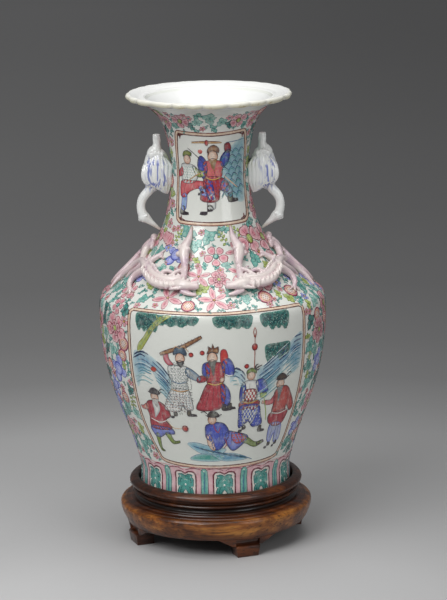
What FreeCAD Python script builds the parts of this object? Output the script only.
"""Baluster vase of enamelled porcelain with crane handles, standing in a turned hardwood stand.

Millimetres, +Z up. The origin is on the floor, under the vase's axis. The vase's front faces -Y and its
handles lie along X. Levels named *_level are heights above the vase's own foot.
"""

import FreeCAD, Part
import math
import os
from bisect import bisect_left

Vector = FreeCAD.Vector

# ---- vase: driving sizes ----
vase_height = 351.0
foot_radius = 66.3           # outside of the foot rim where it stands
foot_top_radius = 65.5       # where the foot meets the belly
foot_height = 21.0
foot_rim_width = 7.0         # unglazed ring that the vase stands on
base_recess = 7.0            # hollow under the base
base_thickness = 6.0
belly_radius = 99.3
belly_level = 158.0          # height of the widest place
shoulder_radius = 94.5       # just inside the rounded shoulder edge
shoulder_level = 176.5
root_radius = 46.6           # where shoulder and neck are luted together
root_level = 225.0
neck_radius = 33.5
neck_level = 288.0           # height of the narrowest place
flare_radius = 58.0          # where neck and mouth rim are luted together
flare_level = 343.3
mouth_radius = 71.4
wall = 4.5
lip_thickness = 6.4
lip_lobes = 24
lobe_depth = 1.1
notch_radius = 4.0

# ---- crane handles ----
crane_level = 283.0          # middle of the bird's body
crane_length = 40.0          # body without the tail
crane_width = 26.0           # in the plane of the handle
crane_thickness = 19.0       # across that plane, wings left out
tail_length = 16.0
tail_radius = 2.7
wing_thickness = 5.0
crane_neck_radius = 4.3
crane_neck_reach = 27.5      # how far the neck's bend stands out from the vase's neck
head_radius = 5.2
beak_level = 230.0           # where the beak meets the vase
beak_tip_radius = 1.4

# ---- shoulder dragons ----
dragon_azimuth = 15.0        # of the snout, either side of the front and of the back
dragon_span = 47.0           # degrees from snout to hip
dragon_level = 193.0         # lowest place of the body's bow
dragon_bow = 12.0            # how far hip and neck rise above that
dragon_body_radius = 4.2
crest_radius = 2.6
crest_top_level = 237.0

# ---- stand: driving sizes ----
foot_block_height = 17.0
cushion_radius = 85.0
cushion_height = 21.0
cushion_under_radius = 79.5
waist_radius = 70.0
waist_height = 5.0
seat_bead_radius = 74.0
seat_thickness = 4.0
gallery_radius = 76.7
gallery_height = 9.3
recess_clearance = 2.2       # all round, between the vase's foot and the recess
stand_feet = 4
stand_turn = 20.3            # azimuth of the first foot, from the front
bracket_half_width = 27.0
bracket_depth = 16.0         # radial, of a foot block
toe_half_width = 11.0
toe_height = 10.0
toe_taper = 1.6
pocket_depth = 5.5
dowel_radius = 3.0
dowel_length = 18.0

# ---- levels that follow from them ----
cushion_top = foot_block_height + cushion_height
waist_top = cushion_top + waist_height
seat_z = waist_top + seat_thickness
recess_radius = max(foot_radius, foot_top_radius) + recess_clearance


def between(start, end, shares):
    """Profile points between two others; each share is (share of the height, share of the radius)."""
    (r0, z0), (r1, z1) = start, end
    return [(r0 + fr * (r1 - r0), z0 + fz * (z1 - z0)) for fz, fr in shares]


def profile_points():
    """(radius, level) points of the outside of the vase, from the top of the foot to the flare."""
    foot = (foot_top_radius, foot_height)
    widest = (belly_radius, belly_level)
    edge = (shoulder_radius, shoulder_level)
    root = (root_radius, root_level)
    waist = (neck_radius, neck_level)
    flare = (flare_radius, flare_level)
    points = [foot]
    points += between(foot, widest, [(0.20, 0.235), (0.45, 0.61), (0.74, 0.915)])
    points += [widest]
    points += between(widest, edge, [(0.55, 0.09), (0.87, 0.50)])
    points += [edge]
    points += between(edge, root, [(0.26, 0.33), (0.45, 0.55), (0.65, 0.755), (0.80, 0.88)])
    points += [root]
    points += between(root, waist, [(0.20, 0.42), (0.45, 0.74), (0.72, 0.95)])
    points += [waist]
    points += between(waist, flare, [(0.27, 0.07), (0.50, 0.175), (0.72, 0.36), (0.88, 0.64)])
    points += [flare]
    return points


def in_profile(r, level):
    return Vector(r, 0, seat_z + level)


def profile_curves():
    """The outer curve, and the inner one a wall inside it with the same parameters."""
    outer = Part.BSplineCurve()
    outer.interpolate([in_profile(r, level) for r, level in profile_points()])
    first, last = outer.FirstParameter, outer.LastParameter
    steps = 60
    parameters = [first + (last - first) * i / steps for i in range(steps + 1)]
    inside = []
    for u in parameters:
        along = outer.tangent(u)[0]
        inside.append(outer.value(u) + Vector(-along.z, 0, along.x) * wall)
    inner = Part.BSplineCurve()
    inner.interpolate(Points=inside, Parameters=parameters)
    return outer, inner


outer_curve, inner_curve = profile_curves()
curve_start, curve_end = outer_curve.FirstParameter, outer_curve.LastParameter


def parameter_at(r, level):
    return outer_curve.parameter(in_profile(r, level))


samples = 900
sampled = [outer_curve.value(curve_start + (curve_end - curve_start) * i / samples) for i in range(samples + 1)]
sampled_z = [p.z for p in sampled]


def on_vase(azimuth, level, height=0.0):
    """A point that stands `height` off the outside of the vase. Azimuth 0 is the front, 90 is +X."""
    z = seat_z + level
    i = min(max(bisect_left(sampled_z, z), 1), samples)
    low, high = sampled[i - 1], sampled[i]
    share = (z - low.z) / (high.z - low.z)
    r = low.x + share * (high.x - low.x)
    slope = (high - low).normalize()
    r += slope.z * height
    z -= slope.x * height
    turn = math.radians(azimuth)
    return Vector(r * math.sin(turn), -r * math.cos(turn), z)


def revolve(edges):
    face = Part.Face(Part.Wire(edges))
    solid = face.revolve(Vector(0, 0, 0), Vector(0, 0, 1), 360)
    return Part.Solid(solid.Shells[0]) if solid.ShapeType != "Solid" else solid


def chain(points):
    """Straight edges from each point to the next; a point is (radius, z)."""
    ends = [Vector(r, 0, z) for r, z in points]
    return [Part.makeLine(a, b) for a, b in zip(ends, ends[1:])]


def closed(points):
    return chain(points + points[:1])


def spline(points):
    curve = Part.BSplineCurve()
    curve.interpolate([Vector(r, 0, z) for r, z in points])
    return curve.toShape()


def cylinder_on(radius, z0, z1, x=0.0, y=0.0):
    return Part.makeCylinder(radius, z1 - z0, Vector(x, y, z0))


def wall_section(u0, u1):
    """A thrown section of the vase: the wall between two lute joints, each square to the wall."""
    outside = outer_curve.toShape(u0, u1)
    inside = inner_curve.toShape(u0, u1)
    return revolve([
        outside,
        Part.makeLine(outer_curve.value(u1), inner_curve.value(u1)),
        inside,
        Part.makeLine(inner_curve.value(u0), outer_curve.value(u0)),
    ])


def belly(u1):
    """Lower body with its foot rim and recessed base."""
    inner_foot = inner_curve.value(curve_start)
    floor = seat_z + base_recess + base_thickness
    rim_inner = foot_radius - foot_rim_width
    fillet = inner_foot.x - 9.0
    edges = chain([
        (outer_curve.value(curve_start).x, seat_z + foot_height),
        (foot_radius, seat_z + 1.2),
        (foot_radius - 1.2, seat_z),
        (rim_inner, seat_z),
        (rim_inner - 1.0, seat_z + base_recess),
        (0, seat_z + base_recess),
        (0, floor),
        (fillet, floor),
        (inner_foot.x, inner_foot.z),
    ])
    edges.append(inner_curve.toShape(curve_start, u1))
    edges.append(Part.makeLine(inner_curve.value(u1), outer_curve.value(u1)))
    edges.append(outer_curve.toShape(curve_start, u1))
    return revolve(edges)


def mouth_rim():
    """Flat everted mouth with a thick lobed lip."""
    top = seat_z + vase_height
    under = outer_curve.value(curve_end)
    inside = inner_curve.value(curve_end)
    lip_under = top - lip_thickness
    half = lip_thickness / 2
    dish = spline([
        (inside.x, inside.z),
        ((inside.x + mouth_radius) / 2 - 1.0, top - 1.1),
        (mouth_radius - half, top),
    ])
    lip = Part.Arc(
        Vector(mouth_radius - half, 0, top),
        Vector(mouth_radius, 0, top - half),
        Vector(mouth_radius - half, 0, lip_under),
    ).toShape()
    ring = revolve([
        dish,
        lip,
        *chain([(mouth_radius - half, lip_under), (under.x, under.z), (inside.x, inside.z)]),
    ])
    notch_centre = mouth_radius + notch_radius - lobe_depth
    for i in range(lip_lobes):
        turn = 2 * math.pi * (i + 0.5) / lip_lobes
        x, y = notch_centre * math.sin(turn), notch_centre * math.cos(turn)
        ring = ring.cut(cylinder_on(notch_radius, lip_under - 1, top + 1, x, y))
    return ring


def disc_section(centre, along, side, half_side, half_other):
    """An ellipse across `along`; half_side is its half width towards `side`."""
    along = Vector(along).normalize()
    side = (side - along * side.dot(along)).normalize()
    other = along.cross(side)
    if half_side >= half_other:
        axis, major, minor = side, half_side, half_other
    else:
        axis, major, minor = other, half_other, half_side
    if abs(half_side - half_other) < 1e-9:
        curve = Part.Circle(Vector(0, 0, 0), Vector(0, 0, 1), major)
    else:
        curve = Part.Ellipse(Vector(0, 0, 0), major, minor)
    wire = Part.Wire(curve.toShape())
    turn = FreeCAD.Rotation(axis, along.cross(axis), along, "ZXY")
    wire.Placement = FreeCAD.Placement(centre, turn)
    return wire


def limb(points, radii, side):
    """A round limb through the points with a radius at each."""
    sections = []
    for i, (point, radius) in enumerate(zip(points, radii)):
        before = points[max(i - 1, 0)]
        after = points[min(i + 1, len(points) - 1)]
        sections.append(disc_section(point, after - before, side, radius, radius))
    return Part.makeLoft(sections, True, False)


def ball(centre, radius):
    return Part.makeSphere(radius, centre)


def fused(first, *others):
    return first.multiFuse(list(others)).removeSplitter()


def crane_body(vase_core):
    """Body, tail and the two folded wings of the bird on the +X side."""
    middle_z = seat_z + crane_level
    neck_side = on_vase(90, crane_level).x
    middle_x = neck_side + crane_width / 2 - 0.6
    half_w, half_t, half_l = crane_width / 2, crane_thickness / 2, crane_length / 2
    # (height from the middle, share of the half width, shift along X)
    shares = [
        (half_l + tail_length, None, -0.6),
        (half_l + tail_length * 0.45, None, -0.6),
        (half_l * 0.93, 0.46, 0.6),
        (half_l * 0.55, 0.82, 0.5),
        (half_l * 0.05, 1.0, 0.0),
        (-half_l * 0.42, 0.88, 0.6),
        (-half_l * 0.76, 0.56, 3.0),
        (-half_l * 0.92, 0.28, 5.0),
    ]
    sections = []
    for dz, share, dx in shares:
        half_x = tail_radius if share is None else half_w * share
        half_y = tail_radius if share is None else half_t * share
        centre = Vector(middle_x + dx, 0, middle_z + dz)
        sections.append(disc_section(centre, Vector(0, 0, 1), Vector(1, 0, 0), half_x, half_y))
    body = Part.makeLoft(sections, True, False)
    wings = []
    for y_sign in (-1, 1):
        wing = []
        for dz, share, dx in [(0.78, 0.34, -2.8), (0.55, 0.66, -2.4), (0.05, 0.86, -2.0),
                              (-0.45, 0.78, -2.4), (-0.80, 0.42, -3.2), (-1.04, 0.10, -3.6)]:
            thickness = wing_thickness * (0.35 + share)
            centre = Vector(
                middle_x + dx,
                y_sign * (half_t * 0.55 * math.sqrt(max(0.0, 1 - dz * dz * 0.8)) + 0.5),
                middle_z + dz * half_l,
            )
            wing.append(disc_section(centre, Vector(0, 0, 1), Vector(1, 0, 0), half_w * share, thickness))
        wings.append(Part.makeLoft(wing, True, False))
    return fused(body, *wings).cut(vase_core)


def crane_neck(body, vase_core):
    """Neck bent like a hook, head and beak; the beak's tip meets the foot of the vase's neck."""
    middle_z = seat_z + crane_level
    neck_side = on_vase(90, crane_level).x
    reach = neck_side + crane_neck_reach
    half_l = crane_length / 2
    tip = on_vase(90, beak_level, -1.0)
    head = Vector(reach - 2.0, 0, middle_z - half_l * 2.0)
    path = [
        Vector(reach - 9.5, 0, middle_z - half_l * 0.62),
        Vector(reach - 5.2, 0, middle_z - half_l * 0.98),
        Vector(reach - 1.0, 0, middle_z - half_l * 1.28),
        Vector(reach + 0.2, 0, middle_z - half_l * 1.62),
        head,
        head + (tip - head) * 0.32,
        head + (tip - head) * 0.66,
        tip,
    ]
    radii = [
        crane_neck_radius * 1.15,
        crane_neck_radius,
        crane_neck_radius,
        crane_neck_radius * 1.02,
        head_radius * 0.86,
        head_radius * 0.64,
        beak_tip_radius * 1.7,
        beak_tip_radius,
    ]
    neck = limb(path, radii, Vector(0, 1, 0))
    crown = ball(head + Vector(0.4, 0, -2.2), head_radius * 0.86)
    return fused(neck, crown).cut(vase_core).cut(body)


def dragon(vase_core):
    """One crawling dragon, on the front right of the shoulder, snout towards the front."""
    outward = Vector(0, 0, 1)

    def track(points, lift):
        return [on_vase(azimuth, level, height + lift) for azimuth, level, height in points]

    snout, hip = dragon_azimuth, dragon_azimuth + dragon_span
    low = dragon_level
    span = dragon_span
    body = limb(
        track([
            (snout + 0.10 * span, low + 4.0, 1.2),
            (snout + 0.24 * span, low + 0.8, 0.6),
            (snout + 0.42 * span, low, 0.4),
            (snout + 0.62 * span, low + 0.32 * dragon_bow, 0.5),
            (snout + 0.82 * span, low + 0.75 * dragon_bow, 0.8),
            (hip, low + dragon_bow, 0.6),
        ], 0.55 * dragon_body_radius),
        [dragon_body_radius * k for k in (0.70, 0.95, 1.0, 0.98, 0.90, 0.72)],
        outward,
    )
    tail = limb(
        track([
            (hip - 2.0, low + 0.97 * dragon_bow, 0.4),
            (hip + 5.0, low + 0.95 * dragon_bow, 0.3),
            (hip + 12.0, low + 0.45 * dragon_bow, 0.3),
            (hip + 18.0, low - 0.05 * dragon_bow, 0.2),
            (hip + 23.0, low - 0.55 * dragon_bow, 0.0),
        ], 0.5),
        [dragon_body_radius * k for k in (0.62, 0.56, 0.52, 0.42, 0.20)],
        outward,
    )
    head = limb(
        track([
            (snout + 6.0, low + 5.0, 1.6),
            (snout + 3.0, low + 1.5, 2.0),
            (snout - 1.0, low - 2.0, 1.6),
            (snout - 4.5, low - 3.2, 0.6),
        ], 1.2),
        [dragon_body_radius * k for k in (0.80, 0.88, 0.72, 0.50)],
        outward,
    )
    crest = limb(
        track([
            (snout + 6.0, low + 5.0, 0.4),
            (snout + 6.5, low + 14.0, 0.2),
            (snout + 7.5, low + 22.0, 0.4),
            (snout + 8.5, low + 28.0, 1.1),
            (snout + 8.5, low + 33.0, 0.5),
            (snout + 8.0, crest_top_level, -0.4),
        ], 0.6),
        [crest_radius * k for k in (0.9, 1.0, 1.15, 1.75, 1.1, 0.45)],
        outward,
    )
    fore_leg = limb(
        track([
            (snout + 0.20 * span, low + 1.0, 0.6),
            (snout + 0.17 * span, low + 6.0, 1.0),
            (snout + 0.27 * span, low + 10.5, 0.4),
            (snout + 0.36 * span, low + 10.0, -0.3),
        ], 0.4),
        [2.3, 1.9, 1.7, 1.2],
        outward,
    )
    hind_leg = limb(
        track([
            (hip - 3.0, low + 0.85 * dragon_bow, 0.8),
            (hip + 2.0, low + 0.45 * dragon_bow, 1.2),
            (hip - 1.5, low + 0.02 * dragon_bow, 0.6),
            (hip - 5.0, low - 0.50 * dragon_bow, -0.3),
        ], 0.4),
        [2.4, 2.0, 1.7, 1.0],
        outward,
    )
    return fused(body, tail, head, crest, fore_leg, hind_leg).cut(vase_core)


def gallery_ring():
    """Turned ring that keeps the vase's foot in place."""
    z = seat_z
    h = gallery_height
    out = gallery_radius
    edges = [spline([
        (out - 4.2, z + 0.12 * h),
        (out - 1.1, z + 0.23 * h),
        (out, z + 0.54 * h),
        (out - 2.2, z + 0.84 * h),
        (out - 5.2, z + h),
    ])]
    edges += chain([
        (out - 5.2, z + h),
        (recess_radius + 0.6, z + h),
        (recess_radius, z + h - 0.6),
        (recess_radius, z),
        (out - 3.6, z),
        (out - 4.2, z + 0.12 * h),
    ])
    return revolve(edges)


def seat_board():
    """Disc that the vase stands on, with a small bead round its edge."""
    bead = seat_thickness * 0.3
    arc = Part.Arc(
        Vector(seat_bead_radius - 2 * bead, 0, waist_top),
        Vector(seat_bead_radius, 0, waist_top + seat_thickness * 0.42),
        Vector(seat_bead_radius - 2 * bead, 0, seat_z - bead),
    ).toShape()
    top_edge = gallery_radius - 3.6
    rest = chain([
        (seat_bead_radius - 2 * bead, seat_z - bead),
        (min(top_edge, seat_bead_radius - 2 * bead), seat_z),
        (0, seat_z),
        (0, waist_top),
        (seat_bead_radius - 2 * bead, waist_top),
    ])
    return revolve([arc, *rest])


def waist_ring():
    """Hollowed waist between the seat and the cushion."""
    deep = 2.2
    top = (seat_bead_radius - 3.0, waist_top)
    foot = (waist_radius + deep, cushion_top)
    cove = Part.Arc(
        Vector(top[0], 0, top[1]),
        Vector(waist_radius, 0, (waist_top + cushion_top) / 2),
        Vector(foot[0], 0, foot[1]),
    ).toShape()
    inner = waist_radius - 22.0
    return revolve([cove, *chain([foot, (inner, cushion_top), (inner, waist_top), top])])


def cushion_edge():
    """Outer curve of the cushion moulding, from its underside to its top."""
    z, h, out = foot_block_height, cushion_height, cushion_radius
    return [
        (cushion_under_radius, z),
        (out - 2.4, z + 0.27 * h),
        (out, z + 0.66 * h),
        (out - 1.3, z + 0.83 * h),
        (out - 5.0, z + 0.95 * h),
        (out - 10.0, z + h),
    ]


def base_cushion(dowels):
    """Turned platform, hollow underneath inside the ring of feet."""
    edge = cushion_edge()
    hollow_radius = cushion_under_radius - bracket_depth - 6.0
    hollow_top = foot_block_height + 9.0
    body = revolve([spline(edge), *chain([
        edge[-1],
        (0, cushion_top),
        (0, hollow_top),
        (hollow_radius - 3.0, hollow_top),
        (hollow_radius, foot_block_height),
        edge[0],
    ])])
    return body.cut(dowels)


def foot_azimuth(i):
    return stand_turn + 360.0 * i / stand_feet


def turned(shape, azimuth):
    copy = shape.copy()
    copy.rotate(Vector(0, 0, 0), Vector(0, 0, 1), azimuth)
    return copy


def dowel():
    r = cushion_under_radius - bracket_depth / 2 - 1.5
    low = foot_block_height - dowel_length / 2
    return cylinder_on(dowel_radius, low, low + dowel_length, 0, -r)


def foot_block():
    """Bracket foot at azimuth 0: ears that continue the apron, a sunk panel and an out-turned toe."""
    out = cushion_under_radius
    inner = out - bracket_depth
    top = foot_block_height
    ring = revolve(closed([(inner, 0), (out - 3.0, 0), (out, top), (inner, top)]))
    ramp = bracket_half_width
    half = toe_half_width
    side = [
        (-ramp, top), (-ramp + 3.0, top - 1.4), (-half - 1.0, toe_height - 0.8), (-half, 0),
        (half, 0), (half + 1.0, toe_height - 0.8), (ramp - 3.0, top - 1.4), (ramp, top),
    ]
    corners = [Vector(x, -out - 10, z) for x, z in side]
    outline = Part.Face(Part.makePolygon(corners + corners[:1]))
    ears = ring.common(outline.extrude(Vector(0, bracket_depth + 14, 0)))
    pocket = Part.makeBox(
        2 * half, pocket_depth + 10, top - toe_height - 0.8,
        Vector(-half, -(out + 10), toe_height),
    )
    toe_out = out + 0.2
    profile = [
        (inner + 1, 0), (toe_out - 1.6, 0), (toe_out - 0.4, toe_height - 1.0), (toe_out - 1.2, toe_height),
        (toe_out - 4.2, toe_height + 0.6), (toe_out - pocket_depth - 1.0, toe_height + 3.2), (inner + 1, toe_height + 3.2),
    ]
    ends = [Vector(-half, -r, z) for r, z in profile]
    toe = Part.Face(Part.makePolygon(ends + ends[:1])).extrude(Vector(2 * half, 0, 0))
    taper = half - toe_taper
    for sign in (-1, 1):
        wedge = [(sign * taper, -1), (sign * (half + 6), -1), (sign * (half + 6), toe_height), (sign * half, toe_height)]
        points = [Vector(x, -(out + 12), z) for x, z in wedge]
        sliver = Part.Face(Part.makePolygon(points + points[:1])).extrude(Vector(0, bracket_depth + 26, 0))
        toe = toe.cut(sliver)
        ears = ears.cut(sliver)
    return fused(ears.cut(pocket), toe).cut(dowel())


def build():
    """All nodes by name."""
    shoulder_start = parameter_at(belly_radius, belly_level + 9.0)
    root = parameter_at(root_radius, root_level)
    nodes = {
        "belly": belly(shoulder_start),
        "shoulder": wall_section(shoulder_start, root),
        "neck": wall_section(root, curve_end),
        "mouth_rim": mouth_rim(),
    }
    core = revolve([
        outer_curve.toShape(),
        *chain([
            (outer_curve.value(curve_end).x, outer_curve.value(curve_end).z),
            (0, outer_curve.value(curve_end).z),
            (0, outer_curve.value(curve_start).z),
            (outer_curve.value(curve_start).x, outer_curve.value(curve_start).z),
        ]),
    ])
    bird = crane_body(core)
    hook = crane_neck(bird, core)
    beast = dragon(core)
    middle, across = Vector(0, 0, 0), Vector(1, 0, 0)
    for side, mirrored in (("right", False), ("left", True)):
        nodes[f"crane_body_{side}"] = bird.mirror(middle, across) if mirrored else bird
        nodes[f"crane_neck_{side}"] = hook.mirror(middle, across) if mirrored else hook
        one = beast.mirror(middle, across) if mirrored else beast
        other = beast if mirrored else beast.mirror(middle, across)
        nodes[f"dragon_front_{side}"] = one
        nodes[f"dragon_back_{side}"] = turned(other, 180)
    block = foot_block()
    pin = dowel()
    pins = [turned(pin, foot_azimuth(i)) for i in range(stand_feet)]
    nodes["gallery_ring"] = gallery_ring()
    nodes["seat_board"] = seat_board()
    nodes["waist_ring"] = waist_ring()
    nodes["base_cushion"] = base_cushion(pins)
    nodes["foot_dowels"] = Part.makeCompound(pins)
    for i in range(stand_feet):
        nodes[f"stand_foot_{i + 1}"] = turned(block, foot_azimuth(i))
    return nodes


os.makedirs("parts", exist_ok=True)
for name, shape in build().items():
    valid = shape.isValid() and all(s.Volume > 0 for s in shape.Solids)
    print(f"{name}: {len(shape.Solids)} solid(s), {shape.Volume / 1000:.2f} cm3, valid {valid}")
    shape.exportStep(f"parts/{name}.step")
